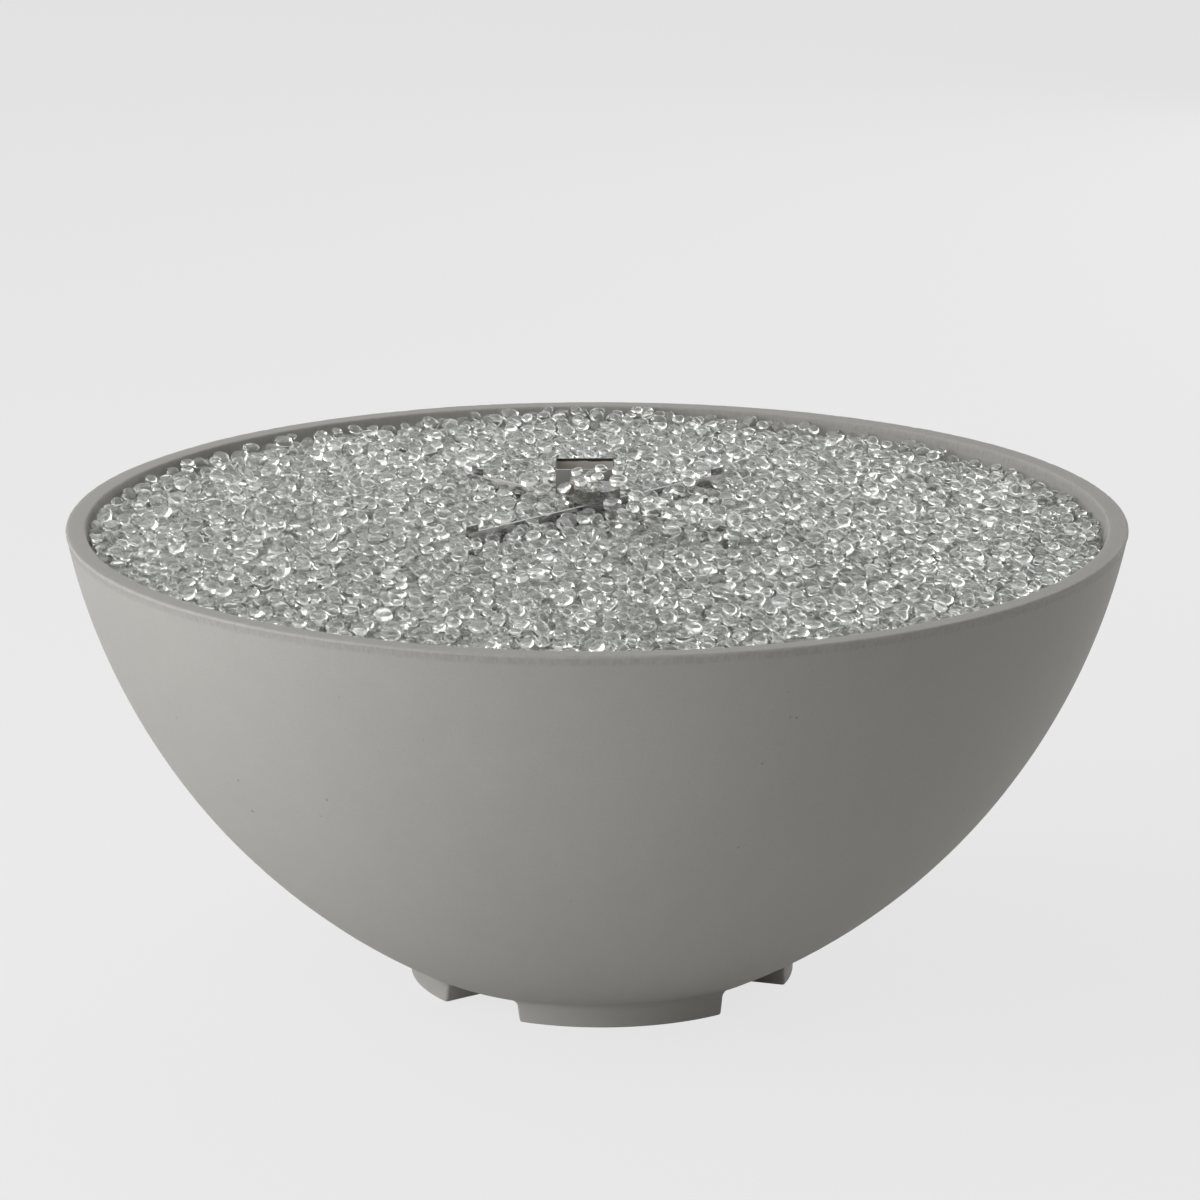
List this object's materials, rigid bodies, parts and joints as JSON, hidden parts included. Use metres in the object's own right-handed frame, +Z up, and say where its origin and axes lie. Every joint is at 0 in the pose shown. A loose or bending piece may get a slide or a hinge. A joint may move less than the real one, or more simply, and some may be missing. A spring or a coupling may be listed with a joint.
{
  "type": "gas fire pit bowl",
  "caption": "Round concrete fire pit bowl on short cast feet, with clear glass beads round a steel cross burner and pilot shield, and a gas knob and push igniter at the rear.",
  "frame": {"origin": "centre of the ring of feet, on the ground", "axes": "+Z up along the bowl's axis; the front, which the picture shows, faces -Y; the control panel is at +Y"},
  "size_m": [1.0662, 1.0662, 0.4995],
  "materials": {
    "concrete": "matte",
    "fire_glass": "polished",
    "stainless": "satin",
    "heated_steel": "satin",
    "zinc_steel": "satin",
    "black_pipe": "satin",
    "brass": "satin",
    "copper": "satin",
    "ceramic": "satin",
    "silicone": "matte",
    "nylon": "matte",
    "black_plastic": "satin",
    "battery_jacket": "gloss",
    "spring_steel": "satin"
  },
  "bodies": {
    "fire_pit": {"bowl": "concrete", "burner_plate": "stainless", "plate_stiffeners": "zinc_steel", "burner_hub": "heated_steel", "burner_arm_back_right": "heated_steel", "burner_arm_back_left": "heated_steel", "burner_arm_front_left": "heated_steel", "burner_arm_front_right": "heated_steel", "arm_end_caps": "heated_steel", "burner_riser": "black_pipe", "riser_nuts": "brass", "air_mixer": "brass", "gas_orifice": "brass", "gas_hose": "stainless", "pilot_shield": "stainless", "shield_screws": "zinc_steel", "pilot_bracket": "stainless", "electrode_insulator": "ceramic", "spark_rod": "heated_steel", "flame_sensor": "copper", "lead_grommets": "silicone", "sensor_lead": "copper", "spark_lead": "silicone", "control_panel": "stainless", "panel_screws": "zinc_steel", "panel_plugs": "nylon", "valve_bonnet": "brass", "valve_body": "brass", "valve_screws": "zinc_steel", "stem_spring": "spring_steel", "knob_dial": "stainless", "igniter_body": "black_plastic", "igniter_nut": "black_plastic", "igniter_battery": "battery_jacket", "button_spring": "spring_steel", "inlet_plate": "zinc_steel", "inlet_screws": "zinc_steel", "inlet_plugs": "nylon", "inlet_fitting": "brass", "inlet_nut": "brass", "inlet_pipe": "zinc_steel", "fire_glass": "fire_glass"},
    "plunger": {"valve_plunger": "stainless"},
    "knob": {"control_knob": "black_plastic", "valve_stem": "zinc_steel"},
    "button": {"igniter_button": "black_plastic"}
  },
  "joints": [
    {"name": "knob_push", "type": "slide", "parent": "fire_pit", "child": "plunger", "axis": [0, -0.8192, 0.5736], "range_m": [0, 0.0025], "stiffness_N_per_m": 1500, "springref_m": -0.002, "deforming": ["stem_spring"]},
    {"name": "knob_turn", "type": "hinge", "parent": "plunger", "child": "knob", "pos_m": [-0.032, 0.42771, 0.22703], "axis": [0, 0.8192, -0.5736], "range_deg": [0, 180]},
    {"name": "igniter_push", "type": "slide", "parent": "fire_pit", "child": "button", "axis": [0, -0.8192, 0.5736], "range_m": [0, 0.005], "stiffness_N_per_m": 1000, "springref_m": -0.002, "deforming": ["button_spring"]}
  ]
}
